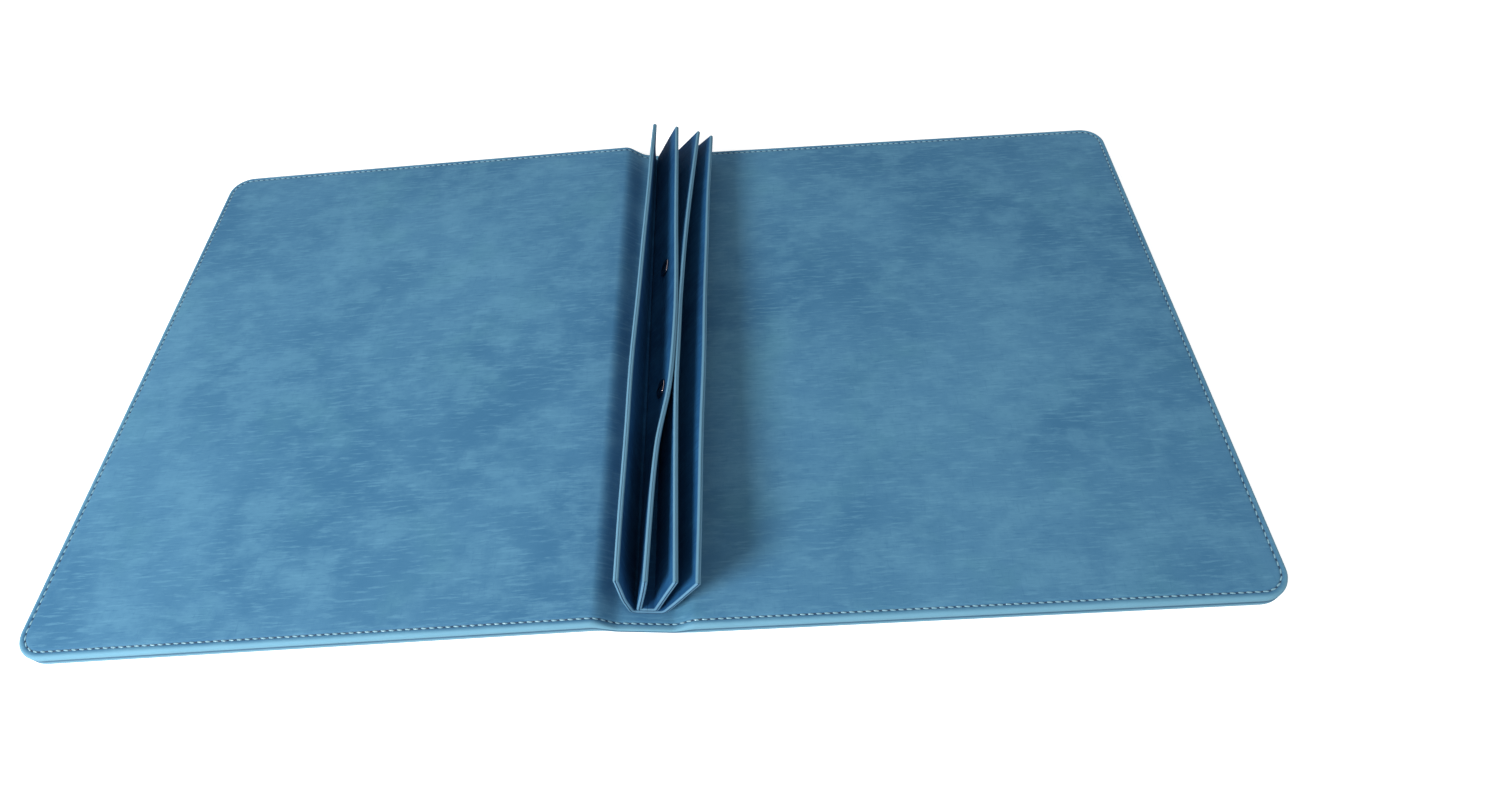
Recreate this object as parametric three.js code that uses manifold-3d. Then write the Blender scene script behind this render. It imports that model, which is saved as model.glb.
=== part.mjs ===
// A menu cover of two padded boards, lying open on its face, in millimetres with +Z up.
// The spine runs along Y at x = 0: the back cover lies to +X and the front cover to -X.
// Fin channels stand on the spine, and two binding screws clamp the middle pair of fins.

import * as THREE from 'three';
import { mergeVertices } from 'three/addons/utils/BufferGeometryUtils.js';
import Module from 'manifold-3d';

const wasm = await Module();
wasm.setup();

// Covers
const coverWidth = 250;
const coverLength = 306;
const cornerRadius = 13;
const edgeRound = 0.8;
const boardThickness = 2.4;
const skinThickness = 1.25;
const fit = 0.3;
const frontLift = 7.3;

// Spine, which slopes from the raised front cover down to the back cover
const spineGap = 38;
const stripWidth = 12;
const kneeX = 10;

// Fins, in the spine's own frame. Their x values are those of their outer faces.
const finThickness = 2.2;
const finLength = 294;
const finTopZ = 33;
const innerBaseHalfWidth = 5.1;
const innerTipLeftX = 0;
const innerTipRightX = 15;
const outerBaseLeftX = -8.1;
const outerBaseRightX = 9.1;
const outerTipLeftX = -12.1;
const outerTipRightX = 23.1;

// Binding screws, on the usual spacing of two-hole sheets, in the spine's own frame
const screwSpacing = 80;
const screwX = 4.7;
const screwZ = 19;
const screwLean = THREE.MathUtils.degToRad(17.5);
const headRadius = 4.75;
const headThickness = 1.2;
const barrelRadius = 2.5;
const boreRadius = 1.8;
const boreDepth = 4.6;
const slotWidth = 1;
const slotDepth = 0.5;
const domeShare = 0.7;

// Stitching
const stitchInset = 3;
const threadWidth = 0.8;
const threadThickness = 0.45;

// Pressed trellis on the front
const trellisWidth = 150;
const trellisLength = 204;
const trellisPitch = 34;
const trellisAngle = THREE.MathUtils.degToRad(54);
const grooveWidth = 1.6;
const grooveDepth = 0.55;

const panelThickness = skinThickness + fit + boardThickness;
const coverThickness = 2 * panelThickness + fit;
const innerX = spineGap / 2;
const foreX = innerX + coverWidth;
const spineTilt = Math.atan2(frontLift, spineGap);
const spineZ = frontLift / 2;
const stripHalf = stripWidth / 2;
const liningZ = skinThickness + fit;
const outerFinZ = liningZ + skinThickness + fit;
const innerFinZ = outerFinZ + finThickness + fit;
const halfGrip = finThickness + fit / 2;
const beyond = 5;
const roundSegments = 20;
const cornerSegments = 6;
const splaySteps = 7;

const leatherette = new THREE.MeshStandardMaterial({ color: 0x4f87a9, roughness: 0.8, metalness: 0 });
const finCloth = new THREE.MeshStandardMaterial({ color: 0x3f7699, roughness: 0.8, metalness: 0 });
const greyboard = new THREE.MeshStandardMaterial({ color: 0x9a938a, roughness: 0.95, metalness: 0 });
const thread = new THREE.MeshStandardMaterial({ color: 0x8fc0d8, roughness: 0.7, metalness: 0 });
const darkChrome = new THREE.MeshStandardMaterial({ color: 0x6b6462, roughness: 0.25, metalness: 1 });

function toSolid(geometry) {
  const bare = geometry.clone();
  bare.deleteAttribute('normal');
  bare.deleteAttribute('uv');
  const merged = mergeVertices(bare);
  const vertProperties = new Float32Array(merged.attributes.position.array);
  const triVerts = new Uint32Array(merged.index.array);
  return new wasm.Manifold(new wasm.Mesh({ numProp: 3, vertProperties, triVerts }));
}

function toMesh(name, solid, material) {
  const { vertProperties, triVerts } = solid.getMesh();
  const geometry = new THREE.BufferGeometry();
  geometry.setAttribute('position', new THREE.BufferAttribute(vertProperties, 3));
  geometry.setIndex(new THREE.BufferAttribute(triVerts, 1));
  const flat = geometry.toNonIndexed();
  flat.computeVertexNormals();
  const mesh = new THREE.Mesh(flat, material);
  mesh.name = name;
  return mesh;
}

// A flat layer between two heights, with rounded edges where round is given.
function layer(shape, lowZ, highZ, round = 0) {
  const geometry = new THREE.ExtrudeGeometry(shape, {
    depth: highZ - lowZ - 2 * round,
    curveSegments: cornerSegments,
    bevelEnabled: round > 0,
    bevelThickness: round,
    bevelSize: round,
    bevelOffset: -round,
    bevelSegments: 2,
  });
  return toSolid(geometry.translate(0, 0, lowZ + round));
}

// A section in x and z, carried along Y and centred there.
function alongSpine(section, length) {
  const geometry = new THREE.ExtrudeGeometry(new THREE.Shape(section), { depth: length, bevelEnabled: false });
  return toSolid(geometry.rotateX(Math.PI / 2).translate(0, length / 2, 0));
}

// The outline of a sheet that follows a path, with its thickness on the path's left-hand side.
function sheetOutline(path, thickness) {
  const normals = path.slice(1).map((point, i) => {
    const along = point.clone().sub(path[i]).normalize();
    return new THREE.Vector2(-along.y, along.x);
  });
  const offset = path.map((point, i) => {
    const before = normals[Math.max(i - 1, 0)];
    const after = normals[Math.min(i, normals.length - 1)];
    const mitre = before.clone().add(after).divideScalar(1 + before.dot(after));
    return point.clone().addScaledVector(mitre, thickness);
  });
  return [...path, ...offset.reverse()];
}

// Closed sections with equal point counts, one for each y, joined into one body.
function loft(sections, ys) {
  const count = sections[0].length;
  const positions = sections.flatMap((section, k) => section.flatMap((p) => [p.x, ys[k], p.y]));
  const index = [];
  for (let k = 0; k < ys.length - 1; k += 1) {
    for (let i = 0; i < count; i += 1) {
      const a = k * count + i;
      const b = k * count + ((i + 1) % count);
      index.push(a, a + count, b, b, a + count, b + count);
    }
  }
  const last = (ys.length - 1) * count;
  for (const [a, b, c] of THREE.ShapeUtils.triangulateShape(sections[0], [])) {
    index.push(a, b, c);
  }
  for (const [a, b, c] of THREE.ShapeUtils.triangulateShape(sections[ys.length - 1], [])) {
    index.push(last + a, last + c, last + b);
  }
  const geometry = new THREE.BufferGeometry();
  geometry.setAttribute('position', new THREE.Float32BufferAttribute(positions, 3));
  geometry.setIndex(index);
  return geometry;
}

// A cover's outline in plan, square at the spine and rounded at the fore edge.
function coverShape(startX, inset) {
  const endX = foreX - inset;
  const halfY = coverLength / 2 - inset;
  const radius = cornerRadius - inset;
  const shape = new THREE.Shape();
  shape.moveTo(startX, -halfY);
  shape.lineTo(endX - radius, -halfY);
  shape.absarc(endX - radius, radius - halfY, radius, -Math.PI / 2, 0, false);
  shape.lineTo(endX, halfY - radius);
  shape.absarc(endX - radius, halfY - radius, radius, 0, Math.PI / 2, false);
  shape.lineTo(startX, halfY);
  shape.closePath();
  return shape;
}

// A band that runs round a cover's three free edges, open at the spine.
function edgeBand(width, lowZ, highZ, startX) {
  const outside = layer(coverShape(startX, stitchInset - width / 2), lowZ, highZ);
  const inside = layer(coverShape(startX - beyond, stitchInset + width / 2), lowZ - beyond, highZ + beyond);
  return outside.subtract(inside);
}

function bar(width, length, angle, x, y) {
  const geometry = new THREE.BoxGeometry(width, length, 2 * grooveDepth);
  return toSolid(geometry.rotateZ(angle).translate(x, y, 0));
}

// A plain diamond trellis in a frame, as grooves in the underside of a cover.
function trellis() {
  const centreX = innerX + coverWidth / 2;
  const window = new THREE.BoxGeometry(trellisWidth, trellisLength, 4 * grooveDepth);
  const reach = Math.hypot(trellisWidth, trellisLength);
  const count = Math.ceil(reach / 2 / trellisPitch);
  const bars = [];
  for (let k = -count; k <= count; k += 1) {
    for (const turn of [trellisAngle, -trellisAngle]) {
      const shift = (k + 0.5) * trellisPitch;
      bars.push(bar(grooveWidth, reach, turn, shift * Math.cos(turn), shift * Math.sin(turn)));
    }
  }
  const lattice = wasm.Manifold.union(bars).intersect(toSolid(window));
  const outside = new THREE.BoxGeometry(
    trellisWidth + 4 * grooveWidth, trellisLength + 4 * grooveWidth, 2 * grooveDepth);
  const inside = new THREE.BoxGeometry(
    trellisWidth + 2 * grooveWidth, trellisLength + 2 * grooveWidth, 4 * grooveDepth);
  return lattice.add(toSolid(outside).subtract(toSolid(inside))).translate([centreX, 0, 0]);
}

// One cover with its inner edge towards the spine at x = 0, raised there by lift.
function cover(name, lift, spineTurn, pressed) {
  const tilt = Math.asin(lift / coverWidth);

  // A point of the resting spine, in the cover's own untilted frame
  const fromSpine = (x, z) => new THREE.Vector2(x, z)
    .rotateAround(new THREE.Vector2(), spineTurn)
    .add(new THREE.Vector2(0, spineZ))
    .rotateAround(new THREE.Vector2(foreX, 0), tilt);
  const tongueEnd = stripHalf + fit;
  const rootX = innerX + 3 * skinThickness;

  const outerTongue = sheetOutline([
    fromSpine(tongueEnd, 0),
    new THREE.Vector2(innerX, 0),
    new THREE.Vector2(rootX, 0),
  ], skinThickness);
  const groove = threadThickness + fit;
  let outerSkin = layer(coverShape(innerX, 0), 0, panelThickness, edgeRound)
    .subtract(layer(coverShape(innerX - beyond, skinThickness), skinThickness, panelThickness + beyond))
    .add(alongSpine(outerTongue, coverLength))
    .subtract(edgeBand(threadWidth + 2 * fit, -beyond, groove, innerX - fit));
  if (pressed) {
    outerSkin = outerSkin.subtract(trellis());
  }

  const topZ = coverThickness;
  const liningTongue = sheetOutline([
    new THREE.Vector2(rootX, topZ),
    new THREE.Vector2(innerX, topZ),
    fromSpine(kneeX, liningZ + skinThickness),
    fromSpine(tongueEnd, liningZ + skinThickness),
  ], skinThickness);
  const innerPanelZ = panelThickness + fit;
  const lining = layer(coverShape(innerX, 0), innerPanelZ, topZ, edgeRound)
    .subtract(layer(coverShape(innerX - beyond, skinThickness), innerPanelZ - beyond, topZ - skinThickness))
    .add(alongSpine(liningTongue, coverLength))
    .subtract(edgeBand(threadWidth + 2 * fit, topZ - groove, topZ + beyond, innerX - fit));

  const boardShape = coverShape(innerX + skinThickness + fit, skinThickness + fit);
  const outerBoard = layer(boardShape, liningZ, panelThickness);
  const innerBoard = layer(boardShape, innerPanelZ, innerPanelZ + boardThickness);
  const outsideThread = edgeBand(threadWidth, 0, threadThickness, innerX);
  const insideThread = edgeBand(threadWidth, topZ - threadThickness, topZ, innerX);

  const flat = new THREE.Group();
  flat.position.x = -foreX;
  flat.add(
    toMesh(`${name}_outer_skin`, outerSkin, leatherette),
    toMesh(`${name}_outer_board`, outerBoard, greyboard),
    toMesh(`${name}_inner_board`, innerBoard, greyboard),
    toMesh(`${name}_lining`, lining, leatherette),
    toMesh(`${name}_outside_stitching`, outsideThread, thread),
    toMesh(`${name}_inside_stitching`, insideThread, thread));
  const tilted = new THREE.Group();
  tilted.position.x = foreX;
  tilted.rotation.y = tilt;
  tilted.add(flat);
  return tilted;
}

function strip(name, lowZ) {
  const section = [
    new THREE.Vector2(-stripHalf, lowZ),
    new THREE.Vector2(stripHalf, lowZ),
    new THREE.Vector2(stripHalf, lowZ + skinThickness),
    new THREE.Vector2(-stripHalf, lowZ + skinThickness),
  ];
  return toMesh(name, alongSpine(section, coverLength), leatherette);
}

// The outer channel: one strip folded into a straight, splayed pair of fins.
function outerChannel() {
  const section = sheetOutline([
    new THREE.Vector2(outerTipLeftX, finTopZ),
    new THREE.Vector2(outerBaseLeftX, outerFinZ),
    new THREE.Vector2(outerBaseRightX, outerFinZ),
    new THREE.Vector2(outerTipRightX, finTopZ),
  ], finThickness);
  return toMesh('outer_fin_channel', alongSpine(section, finLength), finCloth);
}

// The middle of the clamped fins at a height, along the screws' lean.
const clampedX = (z) => screwX + (z - screwZ) * Math.tan(screwLean);
const splayedX = (z, baseX, tipX) => baseX + (tipX - baseX) * (z - innerFinZ) / (finTopZ - innerFinZ);

// The inner channel: clamped between the screws, and opening out towards its ends.
function innerChannel() {
  const flatHalf = headRadius + fit;
  const clampedY = screwSpacing / 2 + flatHalf;
  const halfLength = finLength / 2;
  const heights = [finTopZ, screwZ + flatHalf, screwZ - flatHalf];
  const faceOffset = halfGrip / Math.cos(screwLean);
  const sectionAt = (y) => {
    const away = Math.max(Math.abs(y) - clampedY, 0) / (halfLength - clampedY);
    const splay = Math.sin(away * Math.PI / 2);
    const face = (z, side, tipX) => new THREE.Vector2(
      THREE.MathUtils.lerp(
        clampedX(z) + side * faceOffset, splayedX(z, side * innerBaseHalfWidth, tipX), splay),
      z);
    const left = heights.map((z) => face(z, -1, innerTipLeftX));
    const right = heights.map((z) => face(z, 1, innerTipRightX)).reverse();
    const base = [-1, 1].map((side) => new THREE.Vector2(side * innerBaseHalfWidth, innerFinZ));
    return sheetOutline([...left, ...base, ...right], finThickness);
  };
  const far = Array.from(
    { length: splaySteps + 1 }, (_, k) => clampedY + (halfLength - clampedY) * k / splaySteps);
  const ys = [...far.map((y) => -y).reverse(), ...far];
  let channel = toSolid(loft(ys.map(sectionAt), ys));
  for (const y of [-screwSpacing / 2, screwSpacing / 2]) {
    const hole = new THREE.CylinderGeometry(barrelRadius + fit, barrelRadius + fit, 4 * halfGrip, roundSegments);
    hole.rotateZ(-Math.PI / 2).rotateY(screwLean).translate(screwX, y, screwZ);
    channel = channel.subtract(toSolid(hole));
  }
  return toMesh('inner_fin_channel', channel, finCloth);
}

// A turned piece, from a profile of radius and place along its axis, with the axis along X.
function turned(profile) {
  const points = profile.map(([radius, along]) => new THREE.Vector2(radius, along));
  return toSolid(new THREE.LatheGeometry(points, roundSegments).rotateZ(-Math.PI / 2));
}

// A two-part binding screw: a post with a threaded bore, and a slotted screw that turns into it.
function bindingScrew(number, y) {
  const seat = halfGrip + fit;
  const face = seat + headThickness;
  const domeRadius = domeShare * headRadius;
  const boreEnd = -halfGrip + boreDepth;
  const post = turned([
    [0, boreEnd], [boreRadius, boreEnd], [boreRadius, -halfGrip], [barrelRadius, -halfGrip],
    [barrelRadius, seat], [headRadius, seat], [headRadius, face - headThickness / 2],
    [domeRadius, face], [0, face],
  ]);
  const shankRadius = boreRadius - fit;
  const slot = new THREE.BoxGeometry(2 * slotDepth, 4 * headRadius, slotWidth);
  const cap = turned([
    [0, -face], [domeRadius, -face], [headRadius, headThickness / 2 - face], [headRadius, -seat],
    [shankRadius, -seat], [shankRadius, boreEnd - fit], [0, boreEnd - fit],
  ]).subtract(toSolid(slot.translate(-face, 0, 0)));
  const screw = new THREE.Group();
  screw.position.set(screwX, y, screwZ);
  screw.rotation.y = screwLean;
  screw.add(toMesh(`screw_post_${number}`, post, darkChrome), toMesh(`screw_cap_${number}`, cap, darkChrome));
  return screw;
}

const frontSide = new THREE.Group();
frontSide.rotation.z = Math.PI;
frontSide.add(cover('front', frontLift, spineTilt, true));

const spine = new THREE.Group();
spine.position.z = spineZ;
spine.rotation.y = spineTilt;
spine.add(
  strip('spine_outer_skin', 0),
  strip('spine_lining', liningZ),
  outerChannel(),
  innerChannel(),
  bindingScrew(1, -screwSpacing / 2),
  bindingScrew(2, screwSpacing / 2));

const menuCover = new THREE.Group();
menuCover.add(cover('back', 0, -spineTilt, false), frontSide, spine);

export default menuCover;
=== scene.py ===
# Open menu cover in mottled blue leatherette, with a stitched edge, four fins and two binding screws.
# Lengths are millimetres until the meshes are written in metres.
import math

import bmesh
import bpy
from mathutils import Matrix, Vector


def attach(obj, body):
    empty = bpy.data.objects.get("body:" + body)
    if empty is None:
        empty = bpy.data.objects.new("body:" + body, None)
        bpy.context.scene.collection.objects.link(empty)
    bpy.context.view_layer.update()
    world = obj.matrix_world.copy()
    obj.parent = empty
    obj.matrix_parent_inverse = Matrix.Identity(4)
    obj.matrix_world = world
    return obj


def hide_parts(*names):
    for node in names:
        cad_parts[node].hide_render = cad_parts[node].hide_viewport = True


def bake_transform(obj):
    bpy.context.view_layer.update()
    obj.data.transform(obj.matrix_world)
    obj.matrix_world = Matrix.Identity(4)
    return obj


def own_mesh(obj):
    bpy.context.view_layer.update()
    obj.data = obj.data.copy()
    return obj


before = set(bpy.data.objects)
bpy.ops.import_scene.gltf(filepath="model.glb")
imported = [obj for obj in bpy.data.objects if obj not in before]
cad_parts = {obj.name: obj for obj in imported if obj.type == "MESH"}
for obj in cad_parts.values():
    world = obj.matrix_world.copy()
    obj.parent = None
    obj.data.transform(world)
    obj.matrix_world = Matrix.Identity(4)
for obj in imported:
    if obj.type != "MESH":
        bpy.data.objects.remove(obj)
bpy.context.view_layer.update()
mm = 0.001
print("frame loaded")

# What the pieces share
covers = {
    "width": 250.0,
    "length": 306.0,
    "cornerRadius": 13.0,
    "thickness": 8.2,
    "skin": 1.25,
    "seamGap": 0.3,
    "spineGap": 38.0,
    "frontLift": 7.3,
    "liningRise": 2.8,   # the lining's height over the spine's underside
    "kneeX": 10.5,       # where the flat of the spine starts to rise
    "joinX": 21.8,       # where it meets the board
    # the sheets bend between these distances from the spine's middle
    "bends": {"back": (19.0, 6.0), "front": (17.0, 4.0)},
    "stitchInset": 3.0,
    "seamDip": 0.42,     # depth and half-width of the dip that the stitches pull in
    "edgeRoll": 1.5,
    "crown": 0.22,
    "crownReach": 6.0,
    "turnInWidth": 1.3,  # of the edge that is turned in to the seam
    "turnInStep": 0.45,
    "spineGrid": 0.7,
    "boardGrid": 8.0,
}
foreX = covers["spineGap"] / 2 + covers["width"]
halfLength = covers["length"] / 2

# The spine slopes from the raised front cover down to the back cover
spineTilt = math.atan2(covers["frontLift"], covers["spineGap"])
spineAlong = Vector((math.cos(spineTilt), 0, -math.sin(spineTilt)))
spineUp = Vector((math.sin(spineTilt), 0, math.cos(spineTilt)))
spineMiddle = Vector((0, 0, covers["frontLift"] / 2))


def onSpine(x, y, z):
    return spineMiddle + spineAlong * x + spineUp * z + Vector((0, y, 0))


def linear(red, green, blue):
    def channel(value):
        value = value / 255
        return value / 12.92 if value <= 0.04045 else ((value + 0.055) / 1.055) ** 2.4
    return (channel(red), channel(green), channel(blue), 1.0)


# Camera, fitted to the photograph's frame of 1500 x 795 pixels
view = {
    "focalPixels": 870.4,
    "framePixels": 1500.0,
    "yaw": -1.8,
    "pitch": 53.99,
    "roll": -4.56,
    "place": (0.0556, -0.2889, 0.3543),
}


def makeCamera():
    data = bpy.data.cameras.new("camera")
    data.sensor_width = 36
    data.lens = 36 * view["focalPixels"] / view["framePixels"]
    data.clip_start = 0.01
    yaw, pitch, roll = (math.radians(view[key]) for key in ("yaw", "pitch", "roll"))
    forward = Vector((math.sin(yaw) * math.cos(pitch), math.cos(yaw) * math.cos(pitch), -math.sin(pitch)))
    level = Vector((math.cos(yaw), -math.sin(yaw), 0))
    up = level.cross(forward)
    right = math.cos(roll) * level + math.sin(roll) * up
    up = -math.sin(roll) * level + math.cos(roll) * up
    turn = Matrix((right, up, -forward)).transposed().to_4x4()
    camera = bpy.data.objects.new("camera", data)
    camera.matrix_world = Matrix.Translation(view["place"]) @ turn
    bpy.context.scene.collection.objects.link(camera)
    bpy.context.scene.camera = camera


makeCamera()
print("camera placed")

# Lamps, world and floor
studio = {
    "worldStrength": 0.4,
    "lamps": [
        # name, place, size, power
        ("keyLamp", (-0.66, -0.72, 0.62), 0.45, 14.5),
        ("fillLamp", (0.7, -0.6, 1.0), 1.0, 2.0),
    ],
    "floorSize": 6.0,
    "floorHeight": -1e-4,
    "floorTone": 0.93,
    "floorGlow": 0.6,
}


def makeLamps():
    for name, place, size, power in studio["lamps"]:
        data = bpy.data.lights.new(name, "AREA")
        data.shape = "DISK"
        data.size = size
        data.energy = power
        lamp = bpy.data.objects.new(name, data)
        lamp.location = place
        lamp.rotation_euler = (-Vector(place)).to_track_quat("-Z", "Y").to_euler()
        bpy.context.scene.collection.objects.link(lamp)


def makeWorld():
    world = bpy.data.worlds.new("studio")
    bpy.context.scene.world = world
    world.use_nodes = True
    nodes, links = world.node_tree.nodes, world.node_tree.links
    light = nodes["Background"]
    light.inputs["Color"].default_value = (1, 1, 1, 1)
    light.inputs["Strength"].default_value = studio["worldStrength"]
    seen = nodes.new("ShaderNodeBackground")
    seen.inputs["Color"].default_value = (1, 1, 1, 1)
    path = nodes.new("ShaderNodeLightPath")
    either = nodes.new("ShaderNodeMath")
    either.operation = "MAXIMUM"
    mix = nodes.new("ShaderNodeMixShader")
    links.new(path.outputs["Is Camera Ray"], either.inputs[0])
    links.new(path.outputs["Is Glossy Ray"], either.inputs[1])
    links.new(either.outputs[0], mix.inputs[0])
    links.new(light.outputs[0], mix.inputs[1])
    links.new(seen.outputs[0], mix.inputs[2])
    links.new(mix.outputs[0], nodes["World Output"].inputs[0])


def makeFloor():
    half, height, tone = studio["floorSize"] / 2, studio["floorHeight"], studio["floorTone"]
    mesh = bpy.data.meshes.new("floor")
    corners = [(x, y, height) for x, y in ((-half, -half), (half, -half), (half, half), (-half, half))]
    mesh.from_pydata(corners, [], [(0, 1, 2, 3)])
    floor = bpy.data.objects.new("floor", mesh)
    bpy.context.scene.collection.objects.link(floor)
    material = bpy.data.materials.new("paleFloor")
    material.use_nodes = True
    nodes, links = material.node_tree.nodes, material.node_tree.links
    bsdf = nodes["Principled BSDF"]
    bsdf.inputs["Base Color"].default_value = (tone, tone, tone, 1)
    bsdf.inputs["Roughness"].default_value = 0.9
    # Lifts the lit floor to white in the picture, and leaves its shadows
    glow = nodes.new("ShaderNodeEmission")
    glow.inputs["Strength"].default_value = studio["floorGlow"]
    path = nodes.new("ShaderNodeLightPath")
    black = nodes.new("ShaderNodeEmission")
    black.inputs["Strength"].default_value = 0.0
    choose = nodes.new("ShaderNodeMixShader")
    add = nodes.new("ShaderNodeAddShader")
    links.new(path.outputs["Is Camera Ray"], choose.inputs[0])
    links.new(black.outputs[0], choose.inputs[1])
    links.new(glow.outputs[0], choose.inputs[2])
    links.new(bsdf.outputs[0], add.inputs[0])
    links.new(choose.outputs[0], add.inputs[1])
    links.new(add.outputs[0], nodes["Material Output"].inputs["Surface"])
    mesh.materials.append(material)


makeLamps()
makeWorld()
makeFloor()
bpy.context.scene.view_settings.view_transform = "Standard"
print("studio made")


# Node helpers for the materials
def noise(nodes, links, vector, scale, detail=3.0, rough=0.55):
    node = nodes.new("ShaderNodeTexNoise")
    node.inputs["Scale"].default_value = scale
    node.inputs["Detail"].default_value = detail
    node.inputs["Roughness"].default_value = rough
    links.new(vector, node.inputs["Vector"])
    return node.outputs["Fac"]


def band(nodes, links, value, low, high, top=1.0):
    node = nodes.new("ShaderNodeMapRange")
    node.interpolation_type = "SMOOTHSTEP"
    node.inputs["From Min"].default_value = low
    node.inputs["From Max"].default_value = high
    node.inputs["To Max"].default_value = top
    links.new(value, node.inputs["Value"])
    return node.outputs["Result"]


def blendColour(nodes, links, factor, first, second):
    node = nodes.new("ShaderNodeMix")
    node.data_type = "RGBA"
    links.new(factor, node.inputs["Factor"])
    for socket, colour in ((node.inputs[6], first), (node.inputs[7], second)):
        if isinstance(colour, tuple):
            socket.default_value = colour
        else:
            links.new(colour, socket)
    return node.outputs[2]


def stretched(nodes, links, vector, scale, turn=0.0):
    node = nodes.new("ShaderNodeMapping")
    node.inputs["Scale"].default_value = scale
    node.inputs["Rotation"].default_value = (0, 0, turn)
    links.new(vector, node.inputs["Vector"])
    return node.outputs["Vector"]


def nodeGroup(name, inputs, outputs):
    group = bpy.data.node_groups.new(name, "ShaderNodeTree")
    for socketName, kind, value in inputs:
        socket = group.interface.new_socket(socketName, in_out="INPUT", socket_type=kind)
        if value is not None:
            socket.default_value = value
    for socketName, kind in outputs:
        group.interface.new_socket(socketName, in_out="OUTPUT", socket_type=kind)
    return group, group.nodes.new("NodeGroupInput"), group.nodes.new("NodeGroupOutput")


# Brushed leatherette: clouds of tone, short fibre strokes and pores, each laid over the ones before
nap = {
    "layers": [
        # tone, stretch, size, turn, then the noise where it starts and is full, strength and detail
        ("Mid", (1, 1, 1), 9, 0.0, 0.36, 0.64, 1.0, 4),
        ("Light", (1, 1.4, 1), 48, 0.0, 0.4, 0.68, 0.5, 5),
        ("Green", (1, 1, 1), 26, 0.0, 0.5, 0.8, 0.4, 3),
        ("Light", (1, 8, 1), 95, 0.03, 0.5, 0.7, 0.55, 4),
        ("Dark", (1.2, 9, 1), 120, -0.02, 0.52, 0.72, 0.55, 4),
        ("Dark", (8, 1.2, 1), 100, 0.0, 0.56, 0.76, 0.3, 3),
    ],
    "layerRoughness": 0.6,
    "grainSize": 1500,
    "poreSize": 420,
    "poreStrength": 0.2,
    "roughness": (0.62, 0.86),
    "bumpStrength": 0.35,
    "bumpDistance": 1.1e-4,
}


def makeNapGroup():
    group, given, out = nodeGroup(
        "cloudedNap",
        [("Dark", "NodeSocketColor", None), ("Mid", "NodeSocketColor", None),
         ("Light", "NodeSocketColor", None), ("Green", "NodeSocketColor", None)],
        [("Color", "NodeSocketColor"), ("Height", "NodeSocketFloat"), ("Roughness", "NodeSocketFloat")])
    nodes, links = group.nodes, group.links
    vector = nodes.new("ShaderNodeTexCoord").outputs["Object"]

    colour = given.outputs["Dark"]
    for tone, stretch, size, turn, low, high, strength, detail in nap["layers"]:
        place = stretched(nodes, links, vector, stretch, turn)
        cloud = noise(nodes, links, place, size, detail, nap["layerRoughness"])
        mask = band(nodes, links, cloud, low, high, strength)
        colour = blendColour(nodes, links, mask, colour, given.outputs[tone])
    grain = noise(nodes, links, vector, nap["grainSize"], 3, 0.7)
    pores = noise(nodes, links, vector, nap["poreSize"], 4, 0.65)
    mask = band(nodes, links, pores, 0.5, 0.8, nap["poreStrength"])
    colour = blendColour(nodes, links, mask, colour, given.outputs["Dark"])
    links.new(colour, out.inputs["Color"])
    height = nodes.new("ShaderNodeMath")
    height.operation = "MULTIPLY_ADD"
    height.inputs[1].default_value = 0.5
    links.new(grain, height.inputs[0])
    links.new(pores, height.inputs[2])
    links.new(height.outputs[0], out.inputs["Height"])
    rough = nodes.new("ShaderNodeMapRange")
    rough.inputs["To Min"].default_value, rough.inputs["To Max"].default_value = nap["roughness"]
    links.new(pores, rough.inputs["Value"])
    links.new(rough.outputs["Result"], out.inputs["Roughness"])
    return group


napGroup = makeNapGroup()
tones = {
    "coverDark": linear(58, 110, 146),
    "coverMid": linear(74, 126, 160),
    "coverLight": linear(94, 147, 176),
    "coverGreen": linear(82, 139, 160),
    # Painted highlight: the pale band where light falls on the covers' rolled edges
    "coverEdgeHighlight": linear(110, 160, 182),
    # Painted shade: dark in the stitch groove and where the sheets part at the edge
    "coverSeamShade": linear(24, 60, 92),
    # Fin tones: a deeper blue than the covers', darkened further with painted shade from the narrow gaps
    # between the fins
    "finDark": linear(20, 64, 106),
    "finMid": linear(28, 80, 124),
    "finLight": linear(42, 98, 142),
    # Painted highlight: the pale band where light falls on the fins' cut edges
    "finEdgeHighlight": linear(110, 157, 182),
    # Painted shade: dark in the recessed parting of the fins' plies
    "finPlyShade": linear(28, 60, 92),
}


def attribute(nodes, name):
    node = nodes.new("ShaderNodeAttribute")
    node.attribute_name = name
    return node.outputs["Fac"]


def makeLeather(name, dark, mid, light, green, edge, seam, shine):
    material = bpy.data.materials.new(name)
    material.use_nodes = True
    nodes, links = material.node_tree.nodes, material.node_tree.links
    bsdf = nodes["Principled BSDF"]
    clouds = nodes.new("ShaderNodeGroup")
    clouds.node_tree = napGroup
    for socket, tone in (("Dark", dark), ("Mid", mid), ("Light", light), ("Green", green)):
        clouds.inputs[socket].default_value = tones[tone]
    # Painted highlight on the pale edges, then painted shade along the seams and partings
    colour = blendColour(nodes, links, attribute(nodes, "edgeHighlight"), clouds.outputs["Color"], tones[edge])
    colour = blendColour(nodes, links, attribute(nodes, "seamShadeLine"), colour, tones[seam])
    bump = nodes.new("ShaderNodeBump")
    bump.inputs["Strength"].default_value = nap["bumpStrength"]
    bump.inputs["Distance"].default_value = nap["bumpDistance"]
    links.new(clouds.outputs["Height"], bump.inputs["Height"])
    links.new(colour, bsdf.inputs["Base Color"])
    links.new(clouds.outputs["Roughness"], bsdf.inputs["Roughness"])
    links.new(bump.outputs["Normal"], bsdf.inputs["Normal"])
    bsdf.inputs["Specular IOR Level"].default_value = shine
    return material


# Thread, needle holes, metal and board share a fine grain
plain = {
    "darkShare": 0.72,
    "roughestShare": 1.15,
    "bumpStrength": 0.3,
}


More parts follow.
